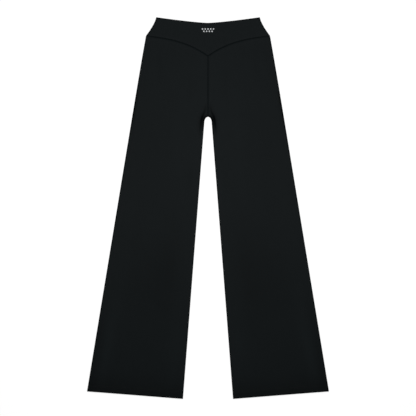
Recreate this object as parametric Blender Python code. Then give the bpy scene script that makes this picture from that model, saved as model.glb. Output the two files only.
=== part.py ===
"""Wide-leg yoga pants with a V-shaped waistband, laid flat with the front up.

Metres. X runs across the garment (+X is the wearer's left), Y up it to the waist, Z up from
the surface that it lies on. The origin is on that surface, under the middle of the garment's box.

Each panel that a maker would cut is one closed wall of cloth. The back panels lie on the surface,
and curl up at their sides to the seams. The front panels lie on the back ones and roll down to
the same seams. Within the outline, a point is given by x and by its drop: how far it lies below
the line through the waist's two upper corners.
"""

import math
from typing import NamedTuple

import bmesh
import bpy
from mathutils import Vector

# The outline of the flat garment
WAIST_HALF = 0.1476
WAIST_DIP = 0.0163
WAIST_DIP_POWER = 1.3
HIP_HALF = 0.1764
BAND_SIDE_DROP = 0.0527
BAND_FLARE_POWER = 1.4
CROTCH_DROP = 0.2835
ARCH_HALF = 0.0096
ARCH_HEIGHT = 0.0143
INSEAM_SLOPE = 0.0773
SIDE_SLOPE = 0.1643
HIP_SWELL = 0.0016
HIP_SWELL_DROP = 0.085
HEM_OUTER_DROP = 1.0668
HEM_INNER_DROP = 1.0881

# The seam under each waistband: its drop at the centre, and the power of the curve that brings it
# there. The straight share of the front one makes it a V, and the back one is a shallow curve.
FRONT_POINT_DROP = 0.1106
FRONT_STRAIGHT = 0.4
FRONT_POWER = 3.0
BACK_POINT_DROP = 0.0800
BACK_STRAIGHT = 2.0
BACK_POWER = 2.0

# The cloth. The waistband and the turned-up hem are double.
CLOTH = 0.0012
BAND_WALL = 0.0024
HEM_WALL = 0.0022
HEM_DEPTH = 0.020
HEM_STEP = 0.002
HEM_RISE = 0.012
FOLDED_EDGE = 0.4
SEAM_GAP = 0.0003
BAND_SEAM_GAP = 0.00034
LAYER_GAP = 0.0003

# How the layers lie: the height of the side seams, how far in the sides are rounded, and the
# height of the front's outer face at the leg's sides, inside them, and on the waistband.
SEAM_HEIGHT = 0.0030
ROLL = 0.005
SIDE_HEIGHT = 0.0054
SIDE_REACH = 0.034
LEG_HEIGHT = 0.0043
BAND_HEIGHT = 0.0062
LIE_SOFTNESS = 0.0004
GROOVE_DEPTH = 0.0005
GROOVE_REACH = 0.0035

# Where the faces' edges run. Across a row, they are close together in the rounded sides. Down a
# panel, they are listed by their distance from its seam, the crotch, the hem or the waist.
ROLL_ANGLES = (0, 35, 62)
FLAT_START = 1.03
ROW_CELLS = 7
SEAM_ROWS = (0.0, 0.0025, 0.007)
CROTCH_ROWS = (0.0090, 0.0046, 0.0022, 0.0008, 0.0)
ARCH_ANGLES = (28, 58, 90)
HIP_CELLS = 5
LEG_ROWS = 15
HEM_ROWS = (0.034, 0.021, 0.019, 0.010, 0.0011, 0.0004, 0.0)
WAIST_ROWS = (0.0, 0.0004, 0.0012, 0.009)
BAND_ROWS = 4
SEAM_FADE = 6


class Form(NamedTuple):
    """A soft hollow (negative rise) or fullness of the front, on both legs alike."""
    x: float
    drop: float
    half_width: float
    half_length: float
    lean: float
    rise: float


FORMS = {
    "fullness of the hip": Form(0.092, 0.170, 0.110, 0.120, 0.00, 0.0009),
    "hollow by the hip": Form(0.150, 0.156, 0.013, 0.036, 0.10, -0.0006),
    "hollow below the groin": Form(0.057, 0.199, 0.012, 0.026, -0.25, -0.0005),
    "fold beside the crotch": Form(0.021, 0.292, 0.008, 0.026, 0.10, -0.0009),
    "fullness of the thigh": Form(0.118, 0.400, 0.060, 0.140, 0.12, 0.0005),
    "hollow of the shin": Form(0.184, 0.850, 0.052, 0.230, 0.12, -0.0009),
    "fullness at the knee": Form(0.135, 0.590, 0.030, 0.090, 0.16, 0.0004),
}


class Cloth(NamedTuple):
    """The look of the knit."""
    colour: tuple
    roughness: float


KNIT = Cloth((0.0088, 0.0107, 0.0114, 1.0), 0.85)


def mix(low, high, share):
    return low + (high - low) * share


def smooth_step(low, high, value):
    share = min(1.0, max(0.0, (value - low) / (high - low)))
    return share * share * (3 - 2 * share)


# Curves of the outline, for x of zero or more

def waist_drop(x):
    """The waist's upper edge, which dips in the middle."""
    return WAIST_DIP * (1 - (abs(x) / WAIST_HALF) ** WAIST_DIP_POWER)


def band_side(share):
    """Half the waistband's width, a share of the way down its side seam."""
    return mix(WAIST_HALF, HIP_HALF, share ** BAND_FLARE_POWER)


def band_seam_drop(x, point_drop, straight, power):
    """The seam under a waistband, from the hip to its lowest point at the centre."""
    inward = 1 - abs(x) / HIP_HALF
    bend = straight * inward + (1 - straight) * inward ** power
    return mix(BAND_SIDE_DROP, point_drop, bend)


def side_x(drop):
    """The outer side of a leg."""
    below = drop - BAND_SIDE_DROP
    return HIP_HALF + SIDE_SLOPE * below + HIP_SWELL * (1 - math.exp(-below / HIP_SWELL_DROP))


def inseam_x(drop):
    """The inner side of a leg: the centre seam, a small arch at the crotch, then the inseam."""
    below = drop - CROTCH_DROP
    if below <= 0:
        return SEAM_GAP / 2
    share = min(1.0, below / ARCH_HEIGHT)
    return SEAM_GAP / 2 + ARCH_HALF * math.sqrt(1 - (1 - share) ** 2) + INSEAM_SLOPE * below


def hem_distance(x, drop):
    """How far a point of a leg lies above its straight, slanted hem."""
    inner = Vector((inseam_x(HEM_INNER_DROP), HEM_INNER_DROP))
    outer = Vector((side_x(HEM_OUTER_DROP), HEM_OUTER_DROP))
    along = (outer - inner).normalized()
    offset = Vector((x, drop)) - inner
    return along.y * offset.x - along.x * offset.y


# Shapes of the cloth

def line_inset(line, point):
    """The distance of a point from an inseam, and the direction into the cloth there.

    The inseam runs down from the crotch, where it starts across the garment.
    """
    best = (math.inf, None)
    for index in range(len(line) - 1):
        start = line[index]
        along = line[index + 1] - start
        share = min(1.0, max(0.0, (point - start).dot(along) / along.length_squared))
        offset = point - (start + along * share)
        if offset.length < best[0]:
            best = (offset.length, offset)
    distance, offset = best
    if distance > 1e-7:
        return distance, offset.normalized()
    index = line.index(point)
    if index == 0:
        return 0.0, Vector((0.0, -1.0))
    along = (line[min(index + 1, len(line) - 1)] - line[index - 1]).normalized()
    return 0.0, Vector((along.y, -along.x))


def nearness(inset):
    return inset[0]


def end_inset(row, point, end, before_end):
    """The distance of a point from one end of its row, and the direction into the cloth there."""
    return (point - row[end]).length, (row[before_end] - row[end]).normalized()


def steps(start, end, count):
    """Evenly spaced values after start, up to end."""
    return [mix(start, end, step / count) for step in range(1, count + 1)]


def across(width):
    """Where a row's points lie, as shares of its width: close together in the rounded sides."""
    rim = [ROLL * (1 - math.cos(math.radians(angle))) / width for angle in ROLL_ANGLES]
    rim.append(ROLL * FLAT_START / width)
    middle = steps(rim[-1], 1 - rim[-1], ROW_CELLS)[:-1]
    return rim + middle + [1 - share for share in reversed(rim)]


def folded_share(distance, wall):
    """How much of a wall's thickness is left near its folded edge, which is round."""
    share = min(1.0, max(0.0, distance / (wall / 2)))
    return mix(FOLDED_EDGE, 1.0, math.sqrt(1 - (1 - share) ** 2))


def lying_height(surface, layers):
    """The height of a soft surface that can't sink below the layers under it."""
    spare = surface - layers
    return layers + (spare + math.sqrt(spare ** 2 + LIE_SOFTNESS ** 2)) / 2


def form_rise(x, drop):
    """What the soft hollows and fullness add to the front's height."""
    total = 0.0
    for form in FORMS.values():
        along = drop - form.drop
        sideways = abs(x) - form.x - form.lean * along
        total += form.rise * math.exp(-(sideways / form.half_width) ** 2 - (along / form.half_length) ** 2)
    return total


def groove(distance):
    """How far the front sinks beside a seam."""
    return GROOVE_DEPTH * math.exp(-(distance / GROOVE_REACH) ** 2)


def leg_height(point, side_distance, above_hem, seam):
    """The height of a front leg's outer face: it lies on the back leg, propped up at its sides."""
    doubled = smooth_step(HEM_DEPTH + HEM_RISE, HEM_DEPTH - HEM_STEP, above_hem)
    layers = 2 * mix(CLOTH, HEM_WALL, doubled) + LAYER_GAP
    surface = mix(LEG_HEIGHT, SIDE_HEIGHT, math.exp(-(side_distance / SIDE_REACH) ** 2))
    top = lying_height(surface + form_rise(point.x, point.y), layers)
    return top - groove(point.x) - groove(point.y - seam(point.x))


def band_height(point, seam):
    """The height of the front waistband's outer face."""
    top = lying_height(BAND_HEIGHT, 2 * BAND_WALL + LAYER_GAP)
    return top - groove(seam(point.x) - point.y)


def wall_points(point, top, wall, inset, is_front, edge_share):
    """The outer and inner points of a wall at one place of the flat outline.

    top is the height of the front's outer face there; the back's is the surface that it lies on.
    Within ROLL of a side seam the wall turns through a quarter of an ellipse to the seam's height.
    edge_share is how much of its thickness is left at a folded edge.
    """
    distance, inward = inset
    turn = math.pi / 2 if distance >= ROLL else math.acos(1 - distance / ROLL)
    up = 1 if is_front else -1
    seam_height = SEAM_HEIGHT + up * SEAM_GAP / 2
    height = mix(seam_height, top if is_front else 0.0, math.sin(turn))
    out = Vector((-inward.x * math.cos(turn), -inward.y * math.cos(turn), up * math.sin(turn)))
    outer = Vector((point.x, point.y, height))
    inner = outer - out * wall
    trim = out * (wall * (1 - edge_share) / 2)
    return outer - trim, inner + trim


# Panels as rows of outer and inner points

def leg_rows(seam):
    """The drops of a leg's rows on the centre seam and inseam, measured at its inner side."""
    top = seam(0.0) + BAND_SEAM_GAP / 2
    rows = [top + below for below in SEAM_ROWS]
    rows += steps(rows[-1], CROTCH_DROP - CROTCH_ROWS[0], HIP_CELLS)
    rows += [CROTCH_DROP - above for above in CROTCH_ROWS[1:]]
    rows += [CROTCH_DROP + ARCH_HEIGHT * (1 - math.cos(math.radians(angle))) for angle in ARCH_ANGLES]
    rows += steps(rows[-1], HEM_INNER_DROP - HEM_ROWS[0], LEG_ROWS)
    rows += [HEM_INNER_DROP - above for above in HEM_ROWS[1:]]
    return rows


def leg_outline(seam):
    """A leg's flat points, row by row from the waistband seam to the hem."""
    rows = leg_rows(seam)
    top = rows[0]
    side_top = BAND_SIDE_DROP + BAND_SEAM_GAP / 2
    outline = []
    for inner_drop in rows:
        share = (inner_drop - top) / (HEM_INNER_DROP - top)
        outer_drop = mix(side_top, HEM_OUTER_DROP, share)
        inner = Vector((inseam_x(inner_drop), inner_drop))
        outer = Vector((side_x(outer_drop), outer_drop))
        row = []
        for place in across(outer.x - inner.x):
            point = inner.lerp(outer, place)
            at_seam = seam(mix(SEAM_GAP / 2, HIP_HALF, place)) + BAND_SEAM_GAP / 2
            point.y += (at_seam - mix(top, side_top, place)) * (1 - share) ** SEAM_FADE
            row.append(point)
        outline.append(row)
    return outline


def leg_walls(seam, is_front):
    """A leg's rows of outer and inner points, on the +X side."""
    outline = leg_outline(seam)
    inseam = [row[0] for row in outline if row[0].y > CROTCH_DROP - CROTCH_ROWS[-2] / 2]
    walls = []
    for row in outline:
        pairs = []
        for point in row:
            inset = min(line_inset(inseam, point), end_inset(row, point, -1, -2), key=nearness)
            above_hem = hem_distance(point.x, point.y)
            turned_up = smooth_step(HEM_DEPTH + HEM_STEP / 2, HEM_DEPTH - HEM_STEP / 2, above_hem)
            wall = mix(CLOTH, HEM_WALL, turned_up)
            top = leg_height(point, inset[0], above_hem, seam)
            edge_share = folded_share(above_hem, HEM_WALL)
            pairs.append(wall_points(point, top, wall, inset, is_front, edge_share))
        walls.append(pairs)
    return walls


def band_outline(seam):
    """A waistband's flat points, row by row from the waist to the seam under it."""
    outline = []
    height = seam(0.0) - waist_drop(0.0)
    shares = [place / height for place in WAIST_ROWS]
    shares += steps(shares[-1], 1 - SEAM_ROWS[-1] / height, BAND_ROWS)
    shares += [1 - SEAM_ROWS[1] / height, 1.0]
    for share in shares:
        half = band_side(share)
        places = across(half)
        row = []
        for place in [-place for place in reversed(places[1:])] + places:
            top = waist_drop(place * WAIST_HALF)
            bottom = seam(place * HIP_HALF) - BAND_SEAM_GAP / 2
            row.append(Vector((place * half, mix(top, bottom, share))))
        outline.append(row)
    return outline


def band_walls(seam, is_front):
    """A waistband's rows of outer and inner points."""
    outline = band_outline(seam)
    walls = []
    for row in outline:
        pairs = []
        for point, waist in zip(row, outline[0]):
            inset = min(end_inset(row, point, 0, 1), end_inset(row, point, -1, -2), key=nearness)
            top = band_height(point, seam)
            edge_share = folded_share(point.y - waist.y, BAND_WALL)
            pairs.append(wall_points(point, top, BAND_WALL, inset, is_front, edge_share))
        walls.append(pairs)
    return walls


# Solids

def in_frame(point, mirror):
    """A point given by x, drop and height, in the garment's frame."""
    return Vector((-point.x if mirror else point.x, HEM_INNER_DROP / 2 - point.y, point.z))


def knit_material(name):
    material = bpy.data.materials.new(name)
    material.use_nodes = True
    shader = material.node_tree.nodes["Principled BSDF"]
    shader.inputs["Base Color"].default_value = KNIT.colour
    shader.inputs["Roughness"].default_value = KNIT.roughness
    shader.inputs["Metallic"].default_value = 0.0
    return material


def add_panel(name, walls, mirror=False):
    """Close a wall's outer and inner points into one solid."""
    model = bmesh.new()
    rims = []
    for face in (0, 1):
        grid = [[model.verts.new(in_frame(pair[face], mirror)) for pair in row] for row in walls]
        for upper, lower in zip(grid, grid[1:]):
            for column in range(len(upper) - 1):
                model.faces.new((upper[column], lower[column], lower[column + 1], upper[column + 1]))
        right = [row[-1] for row in grid[1:-1]]
        left = [row[0] for row in grid[1:-1]]
        rims.append(grid[0] + right + grid[-1][::-1] + left[::-1])
    outer, inner = rims
    for corner in range(len(outer)):
        model.faces.new((outer[corner - 1], outer[corner], inner[corner], inner[corner - 1]))
    bmesh.ops.recalc_face_normals(model, faces=model.faces)
    mesh = bpy.data.meshes.new(name)
    model.to_mesh(mesh)
    model.free()
    mesh.materials.append(knit_material(name))
    mesh.shade_smooth()
    mesh.set_sharp_from_angle(angle=math.radians(40))
    panel = bpy.data.objects.new(name, mesh)
    bpy.context.scene.collection.objects.link(panel)
    return panel


def front_seam(x):
    return band_seam_drop(x, FRONT_POINT_DROP, FRONT_STRAIGHT, FRONT_POWER)


def back_seam(x):
    return band_seam_drop(x, BACK_POINT_DROP, BACK_STRAIGHT, BACK_POWER)


def build():
    for item in list(bpy.data.objects):
        bpy.data.objects.remove(item, do_unlink=True)
    for face, seam, is_front in (("front", front_seam, True), ("back", back_seam, False)):
        add_panel("waistband_" + face, band_walls(seam, is_front))
        leg = leg_walls(seam, is_front)
        add_panel("leg_" + face + "_left", leg)
        add_panel("leg_" + face + "_right", leg, mirror=True)


build()
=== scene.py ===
"""Looks of wide-leg yoga pants laid flat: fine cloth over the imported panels, sewing and finish.

The frame is in metres: X across (+X is the wearer's left), Y up to the waist, Z up from the
surface. As in the garment's own layout, a point of a flat panel is given by x and by its drop
below the line through the waist's two upper corners.
"""

import math
from typing import NamedTuple

import bpy
import numpy as np
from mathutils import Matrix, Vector
from mathutils.bvhtree import BVHTree


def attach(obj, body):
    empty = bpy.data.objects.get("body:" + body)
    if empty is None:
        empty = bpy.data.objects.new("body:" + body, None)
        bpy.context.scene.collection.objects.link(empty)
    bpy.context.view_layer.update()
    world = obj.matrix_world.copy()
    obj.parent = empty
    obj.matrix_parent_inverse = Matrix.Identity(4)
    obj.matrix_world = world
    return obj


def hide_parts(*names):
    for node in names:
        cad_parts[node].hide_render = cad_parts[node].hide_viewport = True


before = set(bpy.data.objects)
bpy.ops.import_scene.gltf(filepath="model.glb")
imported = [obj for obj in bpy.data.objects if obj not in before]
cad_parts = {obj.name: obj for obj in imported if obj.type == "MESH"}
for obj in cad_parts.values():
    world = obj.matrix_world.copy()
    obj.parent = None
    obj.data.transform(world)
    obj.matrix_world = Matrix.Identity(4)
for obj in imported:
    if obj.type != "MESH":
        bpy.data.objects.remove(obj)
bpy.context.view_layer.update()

MM = 0.001

# The outline of the flat garment
WAIST_HALF = 0.1476
WAIST_DIP = 0.0163
WAIST_DIP_POWER = 1.3
HIP_HALF = 0.1764
BAND_SIDE_DROP = 0.0527
BAND_FLARE_POWER = 1.4
CROTCH_DROP = 0.2835
ARCH_HALF = 0.0096
ARCH_HEIGHT = 0.0143
INSEAM_SLOPE = 0.0773
SIDE_SLOPE = 0.1643
HIP_SWELL = 0.0016
HIP_SWELL_DROP = 0.085
HEM_OUTER_DROP = 1.0668
HEM_INNER_DROP = 1.0881
MIDDLE_DROP = HEM_INNER_DROP / 2
GRAIN_LEAN = 0.12


class BandSeam(NamedTuple):
    """The seam under a waistband: its drop at the centre, and how it curves there from the hip."""
    point_drop: float
    straight: float
    power: float


FRONT_SEAM = BandSeam(0.1106, 0.4, 3.0)
BACK_SEAM = BandSeam(0.0800, 2.0, 2.0)

# The step over which a seam's slope is measured
SLOPE_STEP = 0.5 * MM

# In heights of the arch: how far below the crotch the distance to the inseam is measured from its
# curve, and how far down the curve is followed for that
ARCH_NEAR = 3
ARCH_FOLLOWED = 9

# Keeps a point's distance from being zero where a direction is divided by it
TINY = 1e-12

# The cloth, and how its layers lie
CLOTH = 1.2 * MM
BAND_WALL = 2.4 * MM
HEM_WALL = 2.2 * MM
HEM_DEPTH = 20 * MM
HEM_STEP = 2 * MM
HEM_RISE = 12 * MM
FOLDED_EDGE = 0.15
LAYER_GAP = 0.3 * MM
SEAM_HEIGHT = 3.0 * MM
ROLL = 5.0 * MM
SIDE_HEIGHT = 5.4 * MM
SIDE_REACH = 34 * MM
LEG_HEIGHT = 4.3 * MM
BAND_HEIGHT = 6.2 * MM
LIE_SOFTNESS = 0.4 * MM

# Sewn seams: a soft valley, edges that round down into it, and a lift over the allowances inside
VALLEY_DEPTH = 0.8 * MM
VALLEY_REACH = 3.0 * MM
SHOULDER_DEPTH = 1.05 * MM
SHOULDER_REACH = 2.2 * MM
BAND_SHOULDER_MOST = 2.25 * MM
ALLOWANCE_LIFT = 0.5 * MM
ALLOWANCE_REACH = 9 * MM
PINCH_DEPTH = 0.5 * MM
PINCH_TURN = 0.30


class Patch(NamedTuple):
    """A soft round patch of a leg, on both sides alike, and how much it adds at its centre."""
    x: float
    drop: float
    half_width: float
    half_length: float
    lean: float
    amount: float


# Hollows and fullness of the front
FORMS = {
    "fullness of the hip": Patch(0.092, 0.170, 0.110, 0.120, 0.00, 0.9 * MM),
    "hollow by the hip": Patch(0.150, 0.156, 0.013, 0.036, 0.10, -0.6 * MM),
    "hollow below the groin": Patch(0.057, 0.199, 0.012, 0.026, -0.25, -0.5 * MM),
    "fullness by the crotch": Patch(0.034, 0.288, 0.014, 0.034, 0.15, 0.7 * MM),
    "fold beside the crotch": Patch(0.013, 0.296, 0.009, 0.026, 0.10, -0.8 * MM),
    "fullness of the thigh": Patch(0.118, 0.400, 0.060, 0.140, 0.12, 0.5 * MM),
    "hollow of the shin": Patch(0.184, 0.850, 0.052, 0.230, 0.12, -0.9 * MM),
    "fullness at the knee": Patch(0.135, 0.590, 0.030, 0.090, 0.16, 0.4 * MM),
}


class Mark(NamedTuple):
    """A point on a crease: its distance from the centre, its drop, and its share of the depth."""
    x: float
    drop: float
    strength: float


# The crease that the inner leg seam pulls round the top of the gap between the legs
CREASE = [Mark(x * MM, drop * MM, strength) for x, drop, strength in (
    (5.2, 240, 0.0), (6.0, 252, 0.3), (7.4, 261, 0.45), (9.6, 269, 0.6), (13.0, 276, 0.85),
    (16.6, 284, 1.0), (18.9, 293, 1.0), (20.2, 303, 0.9), (21.2, 315, 0.65), (22.2, 330, 0.3),
    (23.0, 346, 0.0))]
CREASE_DEPTH = 1.6 * MM
CREASE_REACH = 1.9 * MM

# Slight unevenness of cloth that has been smoothed by hand: long soft waves, and puckers at seams
RIPPLE_SEED = 7
RIPPLE_WAVES = 14
RIPPLE_LENGTHS = (0.045, 0.160)
RIPPLE_HEIGHT = 0.10 * MM
RIPPLE_CLEAR = 22 * MM
PUCKER_LENGTHS = (0.0073, 0.0118, 0.0205)
PUCKER_HEIGHT = 0.07 * MM
PUCKER_REACH = 5 * MM

# The random draws behind each panel's waves
PANEL_SEEDS = {
    "leg_back_left": 0,
    "leg_back_right": 1,
    "leg_front_left": 2,
    "leg_front_right": 3,
    "waistband_back": 5,
    "waistband_front": 6,
}

# The waves in which the front's open edges lift off the back
LIFT_SEED = 40
LIFT_LENGTHS = (0.131, 0.083, 0.052)
HEM_LIFT = 1.7 * MM
HEM_LIFT_REACH = 42 * MM
WAIST_LIFT = 0.9 * MM
WAIST_LIFT_REACH = 22 * MM
LIFT_CLEAR = 26 * MM

# Twin rows of stitches at the hem
NEEDLE_LINES = (16.9 * MM, 20.1 * MM)
NEEDLE_GROOVE = 0.22 * MM
NEEDLE_GROOVE_REACH = 0.55 * MM
STITCH_PITCH = 3.0 * MM
STITCH_LENGTH = 2.55 * MM
THREAD_RADIUS = 0.19 * MM
THREAD_SIDES = 6
THREAD_RINGS = 7
THREAD_TIP = 0.15

# In radii of the thread: how far a stitch's middle stands out of the cloth, and how far its ends dive
STITCH_RISE = 0.55
STITCH_DIVE = 1.1

# The plain dotted transfer on the waistband
DOT_COLUMNS = 5
DOT_ROWS = 2
DOT_PITCH = (7.8 * MM, 6.6 * MM)
DOT_RADIUS = 2.2 * MM
DOT_SIDES = 20
DOT_FILM = 0.06 * MM
DOT_CENTRE_DROP = 37 * MM

# A dot's rings from below: radius and height, as shares of the dot's radius and of its film. Its
# points are dropped onto the waistband from high above.
DOT_RINGS = ((1.0, -1.0), (1.0, 0.5), (0.93, 1.0))
HIGH_ABOVE = 1.0

# Painted shade: how much darker the knit's colour is painted in its crease at the crotch, at its seams and
# edges and towards the hem, where shade falls on the real cloth
CREASE_SHADE = 0.38
CREASE_SHADE_REACH = 2.4 * MM
HALO_SHADE = 0.42
HALO_REACH = 9 * MM
ARCH_SHADE = 0.60
ARCH_SHADE_REACH = 6 * MM
SEAM_SHADE = 0.03
SEAM_SHADE_REACH = 2.4 * MM
HEM_SHADE = 0.30
HEM_SHADE_REACH = 42 * MM
EDGE_SHADE = 0.35
EDGE_SHADE_REACH = 2.6 * MM
DARKEST_PAINTED_SHADING = 0.05

# Painted light and shade in soft patches: lighter, or darker where the amount is negative
PAINTED_SHADING_PATCHES = {
    "outer hip": Patch(0.190, 0.160, 0.030, 0.160, 0.16, -0.07),
    "streak by the hip": Patch(0.137, 0.135, 0.008, 0.045, 0.00, -0.05),
    "streak by the groin": Patch(0.048, 0.195, 0.010, 0.045, -0.10, -0.06),
    "inner thigh": Patch(0.035, 0.330, 0.045, 0.200, 0.10, 0.05),
    "outer thigh": Patch(0.160, 0.330, 0.060, 0.120, 0.16, -0.04),
    "streak down the thigh": Patch(0.088, 0.340, 0.014, 0.150, 0.03, 0.04),
    "streak above the knee": Patch(0.053, 0.455, 0.009, 0.040, 0.08, -0.07),
    "knee": Patch(0.168, 0.745, 0.075, 0.110, 0.12, -0.13),
    "inside of the knee": Patch(0.110, 0.715, 0.030, 0.130, 0.08, -0.12),
    "inside of the shin": Patch(0.088, 0.950, 0.030, 0.090, 0.08, 0.11),
    "outside of the shin": Patch(0.285, 0.935, 0.018, 0.110, 0.20, 0.18),
    "side of the shin": Patch(0.318, 0.970, 0.016, 0.130, 0.16, -0.14),
}

# The knit: columns of V stitches under a fine fuzz, in a shade that varies in streaks along the grain,
# and rougher where the painted shade is darkest
PAINTED_SHADING_ATTRIBUTE = "painted_shading"
KNIT_COLOUR = (0.0066, 0.0089, 0.0097)
KNIT_SPECULAR = 0.037
KNIT_ROUGHNESS = 0.5
FOLD_ROUGHNESS = 1.0
FOLD_PAINTED_SHADING = 0.6
KNIT_BUMP = 0.35
KNIT_BUMP_DEPTH = 0.10 * MM
WALE_PITCH = 0.62 * MM
COURSE_PITCH = 0.46 * MM
LOOP_SLANT = 1.6
LOOP_RELIEF = 0.35
FUZZ_SIZE = 0.9 * MM
FUZZ_DETAIL = 3.0
FUZZ_RELIEF = 0.5
SHADE_VARIATION = 0.05
SHADE_DETAIL = 4.0
STREAK_WIDTH = 12 * MM
STREAK_LENGTH = 60 * MM

# The thread
THREAD_TONES = ((0.0045, 0.0055, 0.0060), (0.0090, 0.0105, 0.0112))
THREAD_SPECULAR = 0.05
THREAD_ROUGHNESS = 0.45
THREAD_BUMP = 0.4
THREAD_BUMP_DEPTH = 0.05 * MM
TWIST_SCALE = 900.0

# The film
FILM_TONES = ((0.40, 0.42, 0.43), (0.62, 0.64, 0.65))
FILM_ROUGHNESS = 0.42
FILM_GRAIN_SCALE = 4000.0
FILM_GRAIN_DETAIL = 2.0

# A colour Mix node's sockets go by number, because its names repeat
MIX_FACTOR = 0
MIX_TONES = (6, 7)
MIX_RESULT = 2

# Where the fine meshes' edges run, measured from a panel's edges
RIM = [place * MM for place in (
    0, 0.02, 0.07, 0.15, 0.27, 0.42, 0.6, 0.85, 1.15, 1.5, 1.95, 2.5, 3.2, 4.1, 5.2, 6.6, 8.6, 11.2, 14.5)]
INNER_RIM = [place * MM for place in (
    0, 0.02, 0.07, 0.15, 0.27, 0.42, 0.6, 0.85, 1.15, 1.5, 1.95, 2.5, 3.2, 4.1, 4.9, 5.7, 6.5, 7.3, 8.1,
    8.9, 9.7, 10.6, 11.7, 13.1, 15, 17.5, 20.5)]
ROW_CELLS = 40
CROTCH_ROWS = [place * MM for place in (9.5, 7.4, 5.7, 4.4, 3.3, 2.4, 1.6, 1.0, 0.55, 0.25, 0)]
ARCH_CELLS = 12
HIP_CELLS = 70
LEG_ROWS = 210
STITCH_ROWS = [place * MM for place in (34, 31, 28.5, 26.5, 25, 24, 23)]
STITCH_CELLS = 20
STITCH_ZONE = (22 * MM, 15 * MM)
HEM_CELLS = 8
FOLD_ROWS = [place * MM for place in (2.2, 1.6, 1.1, 0.75, 0.47, 0.26, 0.1, 0)]
BAND_CELLS = 40
SEAM_FADE = 6

# The camera sees the frame of the photograph from straight above
FRAME_WIDTH = 1.1856
FRAME_CENTRE_Y = 0.0003
LENS = 120.0
SENSOR = 36.0
CLOTH_TOP = 5 * MM

# The floor, and the softbox that hangs over the garment and faces straight down
WHITE = (1.0, 1.0, 1.0, 1.0)
FLOOR_CLEAR = 0.3 * MM
FLOOR_HALF = 20.0
FLOOR_SHADE = 0.35
FLOOR_GLOW = 0.80
FLOOR_ROUGHNESS = 0.9
FLOOR_SPECULAR = 0.1
SOFTBOX_PLACE = (0.0, 0.25, 1.5)
SOFTBOX_SIDE = 1.2
SOFTBOX_POWER = 15.0
WORLD_STRENGTH = 0.25


def mix(low, high, share):
    return low + (high - low) * share


def smooth_step(low, high, value):
    share = np.clip((value - low) / (high - low), 0.0, 1.0)
    return share * share * (3 - 2 * share)


def steps(start, end, count):
    """Evenly spaced values after start, up to end."""
    return [mix(start, end, step / count) for step in range(1, count + 1)]


# Curves of the outline

def waist_drop(x):
    return WAIST_DIP * (1 - (np.abs(x) / WAIST_HALF) ** WAIST_DIP_POWER)


def band_side(share):
    return mix(WAIST_HALF, HIP_HALF, share ** BAND_FLARE_POWER)


def seam_drop(seam, x):
    inward = 1 - np.abs(x) / HIP_HALF
    bend = seam.straight * inward + (1 - seam.straight) * np.abs(inward) ** seam.power
    return mix(BAND_SIDE_DROP, seam.point_drop, bend)


def seam_distance(seam, x, drop):
    """How far a point lies below a waistband's seam, square to it."""
    near, far = np.abs(x) + SLOPE_STEP, np.abs(x) + 2 * SLOPE_STEP
    slope = (seam_drop(seam, near) - seam_drop(seam, far)) / SLOPE_STEP
    return (drop - seam_drop(seam, x)) / np.sqrt(1 + slope ** 2)


def side_x(drop):
    below = drop - BAND_SIDE_DROP
    return HIP_HALF + SIDE_SLOPE * below + HIP_SWELL * (1 - np.exp(-below / HIP_SWELL_DROP))


def inseam_x(drop):
    below = drop - CROTCH_DROP
    if below <= 0:
        return 0.0
    share = min(1.0, below / ARCH_HEIGHT)
    return ARCH_HALF * math.sqrt(1 - (1 - share) ** 2) + INSEAM_SLOPE * below


def hem_distance(x, drop):
    """How far a point of a leg lies above its straight, slanted hem."""
    inner_x = inseam_x(HEM_INNER_DROP)
    run = side_x(HEM_OUTER_DROP) - inner_x
    rise = HEM_OUTER_DROP - HEM_INNER_DROP
    return (rise * (x - inner_x) - run * (drop - HEM_INNER_DROP)) / math.hypot(run, rise)


# Flat panels as grids of points, row by row from the top

def across(width):
    """Where a row's points lie from its inner to its outer end, as shares of its width."""
    inner = [place / width for place in INNER_RIM]
    outer = [1 - place / width for place in reversed(RIM)]
    return np.array(inner + steps(inner[-1], outer[0], ROW_CELLS)[:-1] + outer)


def leg_rows(seam):
    """The drops of a leg's rows at its inner side."""
    rows = [seam.point_drop + below for below in RIM]
    rows += steps(rows[-1], CROTCH_DROP - CROTCH_ROWS[0], HIP_CELLS)
    rows += [CROTCH_DROP - above for above in CROTCH_ROWS[1:]]
    angles = steps(0.0, math.pi / 2, ARCH_CELLS)
    rows += [CROTCH_DROP + ARCH_HEIGHT * (1 - math.cos(angle)) for angle in angles]
    rows += steps(rows[-1], HEM_INNER_DROP - STITCH_ROWS[0], LEG_ROWS)
    above_hem = STITCH_ROWS[1:] + [STITCH_ZONE[0]] + steps(*STITCH_ZONE, STITCH_CELLS)
    above_hem += steps(STITCH_ZONE[1], FOLD_ROWS[0], HEM_CELLS) + FOLD_ROWS[1:]
    return rows + [HEM_INNER_DROP - above for above in above_hem]


def leg_grid(seam):
    rows = leg_rows(seam)
    top = seam.point_drop
    xs, drops = [], []
    for inner_drop in rows:
        share = (inner_drop - top) / (HEM_INNER_DROP - top)
        outer_drop = mix(BAND_SIDE_DROP, HEM_OUTER_DROP, share)
        inner_x, outer_x = inseam_x(inner_drop), side_x(outer_drop)
        place = across(outer_x - inner_x)
        at_seam = seam_drop(seam, HIP_HALF * place)
        bend = (at_seam - mix(top, BAND_SIDE_DROP, place)) * (1 - share) ** SEAM_FADE
        xs.append(mix(inner_x, outer_x, place))
        drops.append(mix(inner_drop, outer_drop, place) + bend)
    return np.array(xs), np.array(drops)


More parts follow.
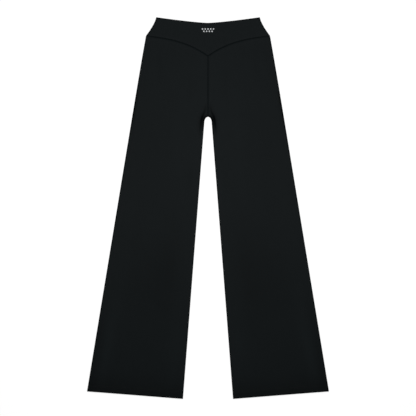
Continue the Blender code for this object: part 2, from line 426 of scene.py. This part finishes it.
def band_grid(seam):
    height = seam.point_drop - float(waist_drop(0.0))
    shares = [place / height for place in reversed(FOLD_ROWS)]
    shares += steps(shares[-1], 1 - RIM[-1] / height, BAND_CELLS)
    shares += [1 - place / height for place in reversed(RIM[:-1])]
    xs, drops = [], []
    for share in shares:
        half = band_side(share)
        place = across(half)
        place = np.concatenate((-place[:0:-1], place))
        top = waist_drop(place * WAIST_HALF)
        xs.append(place * half)
        drops.append(mix(top, seam_drop(seam, place * HIP_HALF), share))
    return np.array(xs), np.array(drops)


# How far points lie in from the folded sides, and the direction into the cloth

def end_inset(xs, drops, end, before_end):
    """From one end of each row, along the row."""
    offset_x, offset_drop = xs - xs[:, [end]], drops - drops[:, [end]]
    step_x = xs[:, [before_end]] - xs[:, [end]]
    step_drop = drops[:, [before_end]] - drops[:, [end]]
    length = np.hypot(step_x, step_drop)
    whole = np.ones_like(xs)
    return np.hypot(offset_x, offset_drop), whole * step_x / length, whole * step_drop / length


def inseam_inset(xs, drops):
    """From the inseam and the arch at its top, square to them."""
    norm = math.hypot(1.0, INSEAM_SLOPE)
    line_x = ARCH_HALF + INSEAM_SLOPE * (drops - CROTCH_DROP)
    distance = (xs - line_x) / norm
    in_x = np.full_like(xs, 1 / norm)
    in_drop = np.full_like(xs, -INSEAM_SLOPE / norm)
    starts = drops[:, 0] > CROTCH_DROP - CROTCH_ROWS[-2] / 2
    line = np.stack((xs[starts, 0], drops[starts, 0]), axis=1)
    near = drops[:, 0] < CROTCH_DROP + ARCH_NEAR * ARCH_HEIGHT
    line = line[line[:, 1] < CROTCH_DROP + ARCH_FOLLOWED * ARCH_HEIGHT]
    best = np.full(xs[near].shape, np.inf)
    best_x, best_drop = np.zeros_like(best), np.zeros_like(best)
    for start, end in zip(line, line[1:]):
        along = end - start
        offset_x, offset_drop = xs[near] - start[0], drops[near] - start[1]
        share = np.clip((offset_x * along[0] + offset_drop * along[1]) / along.dot(along), 0.0, 1.0)
        offset_x = offset_x - along[0] * share
        offset_drop = offset_drop - along[1] * share
        length = np.hypot(offset_x, offset_drop)
        closer = length < best
        best = np.where(closer, length, best)
        best_x = np.where(closer, offset_x, best_x)
        best_drop = np.where(closer, offset_drop, best_drop)
    safe = np.maximum(best, TINY)
    distance[near], in_x[near], in_drop[near] = best, best_x / safe, best_drop / safe
    edge = np.flatnonzero(starts)
    along_x, along_drop = np.gradient(xs[edge, 0]), np.gradient(drops[edge, 0])
    length = np.hypot(along_x, along_drop)
    distance[edge, 0] = 0.0
    in_x[edge, 0], in_drop[edge, 0] = along_drop / length, -along_x / length
    in_x[edge[0], 0], in_drop[edge[0], 0] = 0.0, -1.0
    return distance, in_x, in_drop


def nearer(one, other):
    """The nearer of two insets, point by point."""
    first = one[0] <= other[0]
    return tuple(np.where(first, a, b) for a, b in zip(one, other))


# Heights of the front's outer face

def lying_height(surface, layers):
    spare = surface - layers
    return layers + (spare + np.sqrt(spare ** 2 + LIE_SOFTNESS ** 2)) / 2


def soft_sum(patches, xs, drops):
    total = np.zeros_like(xs)
    for patch in patches:
        along = drops - patch.drop
        sideways = np.abs(xs) - patch.x - patch.lean * along
        spread = (sideways / patch.half_width) ** 2 + (along / patch.half_length) ** 2
        total += patch.amount * np.exp(-spread)
    return total


def ripple(xs, drops, seed):
    """Long soft waves in all directions, a little different on each panel."""
    draw = np.random.default_rng(RIPPLE_SEED + seed)
    total = np.zeros_like(xs)
    for _ in range(RIPPLE_WAVES):
        length = draw.uniform(*RIPPLE_LENGTHS)
        heading = draw.uniform(0.0, math.pi)
        phase = draw.uniform(0.0, 2 * math.pi)
        along = xs * math.cos(heading) + drops * math.sin(heading)
        total += np.sin(2 * math.pi * along / length + phase)
    return RIPPLE_HEIGHT * total * math.sqrt(2 / RIPPLE_WAVES)


def fade(distance, reach):
    return np.exp(-(distance / reach) ** 2)


def away_from(*distances):
    """From 0 at each of some edges to 1 well away from all of them."""
    return math.prod(1 - fade(distance, RIPPLE_CLEAR) for distance in distances)


def pucker(along, distance):
    """Small waves along a seam, fading away from it."""
    waves = [np.sin(2 * math.pi * along / length + index) for index, length in enumerate(PUCKER_LENGTHS)]
    return PUCKER_HEIGHT * sum(waves) * fade(distance, PUCKER_REACH)


def edge_lift(along, distance, from_side, reach, seed):
    """How far an open edge lifts in soft waves, as a share, calm near the folded sides."""
    draw = np.random.default_rng(LIFT_SEED + seed)
    waves = [np.sin(2 * math.pi * (along / length + draw.uniform())) for length in LIFT_LENGTHS]
    share = (1 + np.mean(waves, axis=0)) / 2
    return share ** 2 * fade(distance, reach) * (1 - fade(from_side, LIFT_CLEAR))


class Nearness(NamedTuple):
    """For each point, the distance to the crease at the crotch, and the crease's strength nearby."""
    distance: np.ndarray
    strength: np.ndarray


def crease_near(xs, drops):
    distance = np.full(xs.shape, np.inf)
    strength = np.zeros_like(xs)
    for start, end in zip(CREASE, CREASE[1:]):
        run, rise = end.x - start.x, end.drop - start.drop
        along = (xs - start.x) * run + (drops - start.drop) * rise
        share = np.clip(along / (run ** 2 + rise ** 2), 0.0, 1.0)
        length = np.hypot(xs - start.x - run * share, drops - start.drop - rise * share)
        closer = length < distance
        distance = np.where(closer, length, distance)
        strength = np.where(closer, mix(start.strength, end.strength, share), strength)
    return Nearness(distance, strength)


def leg_surface(xs, drops, side_distance):
    """The height of a leg's front before its seams, creases and slight unevenness."""
    plain = mix(LEG_HEIGHT, SIDE_HEIGHT, fade(side_distance, SIDE_REACH))
    return plain + soft_sum(FORMS.values(), xs, drops)


def rounding(distance, reach):
    """From 1 at a seam to 0 at its reach, as a quarter of a circle."""
    share = np.clip(distance / reach, 0.0, 1.0)
    return 1 - np.sqrt(1 - (1 - share) ** 2)


def folded_share(distance, wall):
    return mix(1.0, FOLDED_EDGE, rounding(distance, wall / 2))


class Wall(NamedTuple):
    """A panel's outer and inner points, the outer face's normals and its painted light and shade, each a
    grid.
    """
    outer: np.ndarray
    inner: np.ndarray
    out: np.ndarray
    painted_shading: np.ndarray


def wall_between(grid, top, walls, inset, is_front, edge_share, sunk, painted_shading):
    """Turn the flat grid into a wall of cloth that rolls down, or up, to its side seams."""
    xs, drops = grid
    distance, in_x, in_drop = inset
    turn = np.arccos(np.clip(1 - distance / ROLL, 0.0, 1.0))
    up = 1 if is_front else -1
    face = top if is_front else np.zeros_like(top)
    height = mix(SEAM_HEIGHT, face, np.sin(turn))
    out = np.stack((-in_x * np.cos(turn), in_drop * np.cos(turn), up * np.sin(turn)), axis=-1)
    middle = np.stack((xs, MIDDLE_DROP - drops, height), axis=-1)
    inner = middle - out * walls[..., None]
    trim = walls * (1 - edge_share) / 2
    pinch = PINCH_DEPTH * (rounding(turn, PINCH_TURN) - np.cos(turn))
    outer = middle - out * (trim + pinch + sunk * np.sin(turn))[..., None]
    return Wall(outer, inner + out * trim[..., None], out, painted_shading)


def leg_painted_shading(xs, drops, crease, from_edge, above_hem, below_band):
    """A leg's painted light and shade, which scales its colour: 1 where it is plain, less where shade is
    painted, and more where light is painted.
    """
    painted_shading = soft_sum(PAINTED_SHADING_PATCHES.values(), xs, drops)
    # Painted shade in and beside the crease at the crotch, and along the arch's edge
    painted_shading -= crease.strength * (CREASE_SHADE * fade(crease.distance, CREASE_SHADE_REACH)
                              + HALO_SHADE * fade(crease.distance, HALO_REACH)
                              + ARCH_SHADE * fade(from_edge, ARCH_SHADE_REACH))
    # Painted shade at the seams, towards the hem and along the folded edges
    painted_shading -= SEAM_SHADE * np.maximum(fade(xs, SEAM_SHADE_REACH), fade(below_band, SEAM_SHADE_REACH))
    painted_shading -= HEM_SHADE * fade(above_hem, HEM_SHADE_REACH)
    painted_shading -= EDGE_SHADE * fade(np.minimum(from_edge, above_hem), EDGE_SHADE_REACH)
    return np.maximum(1 + painted_shading, DARKEST_PAINTED_SHADING)


def leg_wall(seam, is_front, seed):
    """A leg on the +X side."""
    xs, drops = leg_grid(seam)
    from_side = end_inset(xs, drops, -1, -2)
    inset = nearer(inseam_inset(xs, drops), from_side)
    above_hem = hem_distance(xs, drops)
    turned_up = smooth_step(HEM_DEPTH + HEM_STEP / 2, HEM_DEPTH - HEM_STEP / 2, above_hem)
    walls = mix(CLOTH, HEM_WALL, turned_up)
    doubled = smooth_step(HEM_DEPTH + HEM_RISE, HEM_DEPTH - HEM_STEP, above_hem)
    layers = 2 * mix(CLOTH, HEM_WALL, doubled) + LAYER_GAP
    below_band = seam_distance(seam, xs, drops)
    crease = crease_near(xs, drops)
    surface = leg_surface(xs, drops, from_side[0])
    surface += ripple(xs, drops, seed) * away_from(inset[0], xs, below_band)
    surface += pucker(drops, xs) + pucker(xs, below_band)
    surface += ALLOWANCE_LIFT * fade(below_band, ALLOWANCE_REACH)
    surface -= VALLEY_DEPTH * np.maximum(fade(xs, VALLEY_REACH), fade(below_band, VALLEY_REACH))
    surface -= CREASE_DEPTH * crease.strength * fade(crease.distance, CREASE_REACH)
    surface += HEM_LIFT * edge_lift(xs, above_hem, inset[0], HEM_LIFT_REACH, seed)
    top = lying_height(surface, layers)
    in_centre = drops < CROTCH_DROP + ARCH_HEIGHT
    at_centre_seam = rounding(xs, SHOULDER_REACH) * in_centre
    sunk = SHOULDER_DEPTH * np.maximum(at_centre_seam, rounding(below_band, SHOULDER_REACH))
    for line in NEEDLE_LINES:
        sunk = sunk + NEEDLE_GROOVE * fade(above_hem - line, NEEDLE_GROOVE_REACH)
    edge_share = folded_share(above_hem, HEM_WALL)
    painted_shading = leg_painted_shading(xs, drops, crease, inset[0], above_hem, below_band)
    return wall_between((xs, drops), top, walls, inset, is_front, edge_share, sunk, painted_shading)


def band_wall(seam, is_front, seed):
    """A waistband, across both sides."""
    xs, drops = band_grid(seam)
    inset = nearer(end_inset(xs, drops, 0, 1), end_inset(xs, drops, -1, -2))
    above_seam = -seam_distance(seam, xs, drops)
    below_top = drops - drops[[0]]
    surface = BAND_HEIGHT + ripple(xs, drops, seed) * away_from(inset[0], above_seam) / 2
    surface += pucker(xs, above_seam)
    surface -= VALLEY_DEPTH * fade(above_seam, VALLEY_REACH)
    surface += WAIST_LIFT * edge_lift(xs, below_top, inset[0], WAIST_LIFT_REACH, seed)
    top = lying_height(surface, 2 * BAND_WALL + LAYER_GAP)
    at_seam = np.broadcast_to(drops[-1], drops.shape)
    step = BAND_HEIGHT - leg_surface(xs, at_seam, HIP_HALF - np.abs(xs)) - ALLOWANCE_LIFT
    depth = np.clip(step + SHOULDER_DEPTH, SHOULDER_DEPTH, BAND_SHOULDER_MOST)
    sunk = depth * rounding(above_seam, SHOULDER_REACH)
    # Painted shade at the waistband's seam and along its edges
    painted_shading = 1 - SEAM_SHADE * fade(above_seam, SEAM_SHADE_REACH)
    painted_shading -= EDGE_SHADE * fade(np.minimum(inset[0], below_top), EDGE_SHADE_REACH)
    walls = np.full_like(xs, BAND_WALL)
    edge_share = folded_share(below_top, BAND_WALL)
    return wall_between((xs, drops), top, walls, inset, is_front, edge_share, sunk, painted_shading)


# Meshes

def new_object(name, points, faces, material):
    mesh = bpy.data.meshes.new(name)
    mesh.from_pydata(points, [], faces)
    mesh.materials.append(material)
    mesh.shade_smooth()
    mesh.validate()
    thing = bpy.data.objects.new(name, mesh)
    bpy.context.scene.collection.objects.link(thing)
    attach(thing, "root")
    return thing


def grid_faces(first, rows, columns, flip):
    """Quads over a grid of points that are numbered row by row."""
    corner = first + np.arange(rows - 1)[:, None] * columns + np.arange(columns - 1)[None, :]
    quads = np.stack((corner, corner + columns, corner + columns + 1, corner + 1), axis=-1).reshape(-1, 4)
    return quads[:, ::-1] if flip else quads


def rim_loop(first, rows, columns):
    """The numbers of a grid's edge points, all the way round."""
    numbers = first + np.arange(rows * columns).reshape(rows, columns)
    return np.concatenate((numbers[0], numbers[1:, -1], numbers[-1, -2::-1], numbers[-2:0:-1, 0]))


def ring_faces(first, rings, sides, flip):
    """Quads between rings of points that are numbered ring by ring, and a face over each end."""
    faces = []
    last = first + (rings - 1) * sides
    for start in range(first, last, sides):
        for corner in range(sides):
            after = (corner + 1) % sides
            faces.append((start + corner, start + after, start + after + sides, start + corner + sides))
    faces += [tuple(reversed(range(first, first + sides))), tuple(range(last, last + sides))]
    return [face[:1] + face[:0:-1] for face in faces] if flip else faces


def add_panel(name, wall, is_front, mirror, material):
    """Close a wall into one mesh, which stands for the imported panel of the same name."""
    rows, columns = wall.outer.shape[:2]
    count = rows * columns
    points = np.concatenate((wall.outer.reshape(-1, 3), wall.inner.reshape(-1, 3)))
    if mirror:
        points = points * (-1, 1, 1)
    flip = mirror == is_front
    outer_faces = grid_faces(0, rows, columns, flip)
    inner_faces = grid_faces(count, rows, columns, not flip)
    outer_rim, inner_rim = rim_loop(0, rows, columns), rim_loop(count, rows, columns)
    rims = np.stack((outer_rim, np.roll(outer_rim, -1), np.roll(inner_rim, -1), inner_rim), axis=-1)
    if not flip:
        rims = rims[:, ::-1]
    faces = np.concatenate((outer_faces, inner_faces, rims))
    panel = new_object(name + "_cloth", points.tolist(), faces.tolist(), material)
    # The painted light and shade goes on the points, and the knit's colour is scaled by it
    painted_shading = panel.data.attributes.new(PAINTED_SHADING_ATTRIBUTE, "FLOAT", "POINT")
    painted_shading.data.foreach_set("value", np.tile(wall.painted_shading.ravel(), 2).astype(np.float32))
    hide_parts(name)
    return panel


def stitch_rings(centre, along, out, side):
    """The points of one stitch: a thread that dives into the cloth at both ends."""
    points = []
    for ring in range(THREAD_RINGS):
        place = ring / (THREAD_RINGS - 1) * 2 - 1
        radius = THREAD_RADIUS * mix(THREAD_TIP, 1.0, math.sqrt(1 - place ** 4))
        dive = THREAD_RADIUS * STITCH_DIVE * place ** 4
        middle = centre + along * (place * STITCH_LENGTH / 2) - out * dive
        for corner in range(THREAD_SIDES):
            angle = 2 * math.pi * corner / THREAD_SIDES
            points.append(middle + (side * math.cos(angle) + out * math.sin(angle)) * radius)
    return points


def add_hem_stitches(name, wall, mirror, material):
    """Two rows of stitches along a hem, laid on the panel's own points."""
    to_side = np.array((-1, 1, 1)) if mirror else np.array((1, 1, 1))
    inner_drops = MIDDLE_DROP - wall.outer[:, 0, 1]
    points, faces = [], []
    for line in NEEDLE_LINES:
        row = int(np.argmin(np.abs(HEM_INNER_DROP - inner_drops - line)))
        path, out = wall.outer[row] * to_side, wall.out[row] * to_side
        length = np.concatenate(([0.0], np.cumsum(np.linalg.norm(np.diff(path, axis=0), axis=1))))
        for place in np.arange(STITCH_PITCH / 2, length[-1], STITCH_PITCH):
            ends = [Vector([np.interp(place + shift, length, path[:, axis]) for axis in range(3)])
                    for shift in (-STITCH_LENGTH / 2, STITCH_LENGTH / 2)]
            upward = Vector([np.interp(place, length, out[:, axis]) for axis in range(3)]).normalized()
            along = (ends[1] - ends[0]).normalized()
            centre = (ends[0] + ends[1]) / 2 + upward * THREAD_RADIUS * STITCH_RISE
            faces += ring_faces(len(points), THREAD_RINGS, THREAD_SIDES, True)
            points += stitch_rings(centre, along, upward, along.cross(upward).normalized())
    stitches = new_object(name, [tuple(point) for point in points], faces, material)
    return stitches


def add_dots(band, material):
    """A plain grid of round film dots pressed onto the middle of the waistband."""
    corners = [vertex.co for vertex in band.data.vertices]
    tree = BVHTree.FromPolygons(corners, [face.vertices for face in band.data.polygons])
    points, faces = [], []
    for row in range(DOT_ROWS):
        columns = DOT_COLUMNS - row % 2
        y = MIDDLE_DROP - DOT_CENTRE_DROP - (row - (DOT_ROWS - 1) / 2) * DOT_PITCH[1]
        for column in range(columns):
            x = (column - (columns - 1) / 2) * DOT_PITCH[0]
            faces += ring_faces(len(points), len(DOT_RINGS), DOT_SIDES, False)
            for radius_share, film_share in DOT_RINGS:
                radius = DOT_RADIUS * radius_share
                for corner in range(DOT_SIDES):
                    angle = 2 * math.pi * corner / DOT_SIDES
                    spot = Vector((x + radius * math.cos(angle), y + radius * math.sin(angle), HIGH_ABOVE))
                    place = tree.ray_cast(spot, Vector((0, 0, -1)))[0]
                    points.append((place.x, place.y, place.z + DOT_FILM * film_share))
    dots = new_object("waistband_dots", points, faces, material)
    return dots


# Materials

def shader_of(material):
    material.use_nodes = True
    return material.node_tree.nodes["Principled BSDF"]


def set_values(node, values):
    for socket, value in values.items():
        node.inputs[socket].default_value = value


def math_node(tree, operation, first, second=None):
    node = tree.nodes.new("ShaderNodeMath")
    node.operation = operation
    for socket, value in zip(node.inputs, (first, second)):
        if isinstance(value, (int, float)):
            socket.default_value = value
        elif value is not None:
            tree.links.new(value, socket)
    return node.outputs[0]


def noise_node(tree, place, scale, detail):
    noise = tree.nodes.new("ShaderNodeTexNoise")
    set_values(noise, {"Scale": scale, "Detail": detail})
    tree.links.new(place, noise.inputs["Vector"])
    return noise.outputs[0]


def tones_node(tree, share, tones):
    """A colour that runs from the first tone to the second."""
    node = tree.nodes.new("ShaderNodeMix")
    node.data_type = "RGBA"
    for socket, tone in zip(MIX_TONES, tones):
        node.inputs[socket].default_value = (*tone, 1.0)
    tree.links.new(share, node.inputs[MIX_FACTOR])
    return node.outputs[MIX_RESULT]


def add_bump(tree, shader, height, strength, depth):
    bump = tree.nodes.new("ShaderNodeBump")
    set_values(bump, {"Strength": strength, "Distance": depth})
    tree.links.new(height, bump.inputs["Height"])
    tree.links.new(bump.outputs[0], shader.inputs["Normal"])


def knit_relief(tree, place, along_grain):
    """A ridge for each wale, small V stitches along it, and fuzz."""
    parts = tree.nodes.new("ShaderNodeSeparateXYZ")
    tree.links.new(along_grain, parts.inputs[0])
    wale = math_node(tree, "MULTIPLY", parts.outputs["X"], math.pi / WALE_PITCH)
    ridge = math_node(tree, "ABSOLUTE", math_node(tree, "SINE", wale))
    course = math_node(tree, "MULTIPLY", parts.outputs["Y"], 2 * math.pi / COURSE_PITCH)
    loop = math_node(tree, "ADD", course, math_node(tree, "MULTIPLY", ridge, LOOP_SLANT))
    loop = math_node(tree, "MULTIPLY", math_node(tree, "SINE", loop), LOOP_RELIEF)
    fuzz = math_node(tree, "MULTIPLY", noise_node(tree, place, 1 / FUZZ_SIZE, FUZZ_DETAIL), FUZZ_RELIEF)
    return math_node(tree, "ADD", math_node(tree, "ADD", ridge, loop), fuzz)


def knit_shade(tree, along_grain):
    """The knit's colour, which varies in streaks along the grain."""
    streaks = tree.nodes.new("ShaderNodeMapping")
    set_values(streaks, {"Scale": (1 / STREAK_WIDTH, 1 / STREAK_LENGTH, 1 / STREAK_WIDTH)})
    tree.links.new(along_grain, streaks.inputs["Vector"])
    cloud = noise_node(tree, streaks.outputs[0], 1.0, SHADE_DETAIL)
    changes = (-SHADE_VARIATION, SHADE_VARIATION)
    tones = [[channel * (1 + change) for channel in KNIT_COLOUR] for change in changes]
    return tones_node(tree, cloud, tones)


def knit_material(name, lean):
    """A fine stretch knit, whose wales lean from the garment's length."""
    material = bpy.data.materials.new(name)
    shader = shader_of(material)
    tree = material.node_tree
    set_values(shader, {"Specular IOR Level": KNIT_SPECULAR})
    place = tree.nodes.new("ShaderNodeTexCoord").outputs["Object"]
    grain = tree.nodes.new("ShaderNodeMapping")
    set_values(grain, {"Rotation": (0, 0, -math.atan(lean))})
    tree.links.new(place, grain.inputs["Vector"])
    add_bump(tree, shader, knit_relief(tree, place, grain.outputs[0]), KNIT_BUMP, KNIT_BUMP_DEPTH)

    # The painted light and shade scales the colour, and the folds where the painted shade is darkest are
    # rougher
    painted_shading = tree.nodes.new("ShaderNodeAttribute")
    painted_shading.attribute_name = PAINTED_SHADING_ATTRIBUTE
    painted_colour = tree.nodes.new("ShaderNodeVectorMath")
    painted_colour.operation = "SCALE"
    tree.links.new(knit_shade(tree, grain.outputs[0]), painted_colour.inputs[0])
    tree.links.new(painted_shading.outputs["Fac"], painted_colour.inputs["Scale"])
    tree.links.new(painted_colour.outputs[0], shader.inputs["Base Color"])
    rough = tree.nodes.new("ShaderNodeMapRange")
    set_values(rough, {"From Min": DARKEST_PAINTED_SHADING, "From Max": FOLD_PAINTED_SHADING,
                       "To Min": FOLD_ROUGHNESS, "To Max": KNIT_ROUGHNESS})
    tree.links.new(painted_shading.outputs["Fac"], rough.inputs["Value"])
    tree.links.new(rough.outputs["Result"], shader.inputs["Roughness"])
    return material


def thread_material():
    """Twisted black thread."""
    material = bpy.data.materials.new("black_thread")
    shader = shader_of(material)
    tree = material.node_tree
    set_values(shader, {"Roughness": THREAD_ROUGHNESS, "Specular IOR Level": THREAD_SPECULAR})
    twist = tree.nodes.new("ShaderNodeTexWave")
    twist.wave_type = "BANDS"
    twist.bands_direction = "DIAGONAL"
    set_values(twist, {"Scale": TWIST_SCALE})
    tree.links.new(tree.nodes.new("ShaderNodeTexCoord").outputs["Object"], twist.inputs["Vector"])
    add_bump(tree, shader, twist.outputs["Fac"], THREAD_BUMP, THREAD_BUMP_DEPTH)
    tree.links.new(tones_node(tree, twist.outputs["Fac"], THREAD_TONES), shader.inputs["Base Color"])
    return material


def film_material():
    """Pale grey film with a fine sparkle."""
    material = bpy.data.materials.new("grey_film")
    shader = shader_of(material)
    tree = material.node_tree
    set_values(shader, {"Roughness": FILM_ROUGHNESS})
    place = tree.nodes.new("ShaderNodeTexCoord").outputs["Object"]
    grain = noise_node(tree, place, FILM_GRAIN_SCALE, FILM_GRAIN_DETAIL)
    tree.links.new(tones_node(tree, grain, FILM_TONES), shader.inputs["Base Color"])
    return material


# The garment

def build_garment():
    band_knit = knit_material("black_knit_waistband", 0.0)
    leg_knits = {side: knit_material("black_knit_leg_" + side, lean)
                 for side, lean in (("left", GRAIN_LEAN), ("right", -GRAIN_LEAN))}
    thread = thread_material()
    pieces = {}
    for face, seam, is_front in (("back", BACK_SEAM, False), ("front", FRONT_SEAM, True)):
        for side in ("left", "right"):
            name = "leg_" + face + "_" + side
            wall = leg_wall(seam, is_front, PANEL_SEEDS[name])
            mirror = side == "right"
            pieces[name] = add_panel(name, wall, is_front, mirror, leg_knits[side])
            add_hem_stitches("hem_stitches_" + face + "_" + side, wall, mirror, thread)
        name = "waistband_" + face
        wall = band_wall(seam, is_front, PANEL_SEEDS[name])
        pieces[name] = add_panel(name, wall, is_front, False, band_knit)
    dots = add_dots(pieces["waistband_front"], film_material())


# The stage

def add_softbox():
    light = bpy.data.lights.new("softbox_overhead", "AREA")
    light.size = SOFTBOX_SIDE
    light.energy = SOFTBOX_POWER
    lamp = bpy.data.objects.new("softbox_overhead", light)
    lamp.location = SOFTBOX_PLACE
    lamp.visible_camera = False
    bpy.context.scene.collection.objects.link(lamp)


def build_stage():
    scene = bpy.context.scene
    scene.view_settings.view_transform = "Standard"
    scene.view_settings.look = "None"
    material = bpy.data.materials.new("pale_floor")
    set_values(shader_of(material), {
        "Base Color": (FLOOR_SHADE, FLOOR_SHADE, FLOOR_SHADE, 1.0),
        "Roughness": FLOOR_ROUGHNESS,
        "Specular IOR Level": FLOOR_SPECULAR,
        "Emission Color": WHITE,
        "Emission Strength": FLOOR_GLOW,
    })
    corners = [(x * FLOOR_HALF, y * FLOOR_HALF, -FLOOR_CLEAR)
               for x, y in ((-1, -1), (1, -1), (1, 1), (-1, 1))]
    mesh = bpy.data.meshes.new("floor")
    mesh.from_pydata(corners, [], [(0, 1, 2, 3)])
    mesh.materials.append(material)
    floor = bpy.data.objects.new("floor", mesh)
    scene.collection.objects.link(floor)
    add_softbox()
    world = bpy.data.worlds.new("studio")
    world.use_nodes = True
    set_values(world.node_tree.nodes["Background"], {"Color": WHITE, "Strength": WORLD_STRENGTH})
    scene.world = world


def add_camera():
    camera = bpy.data.cameras.new("camera")
    camera.lens = LENS
    camera.sensor_width = SENSOR
    view = bpy.data.objects.new("camera", camera)
    view.location = (0.0, FRAME_CENTRE_Y, CLOTH_TOP + FRAME_WIDTH * LENS / SENSOR)
    bpy.context.scene.collection.objects.link(view)
    bpy.context.scene.camera = view


add_camera()
build_garment()
build_stage()
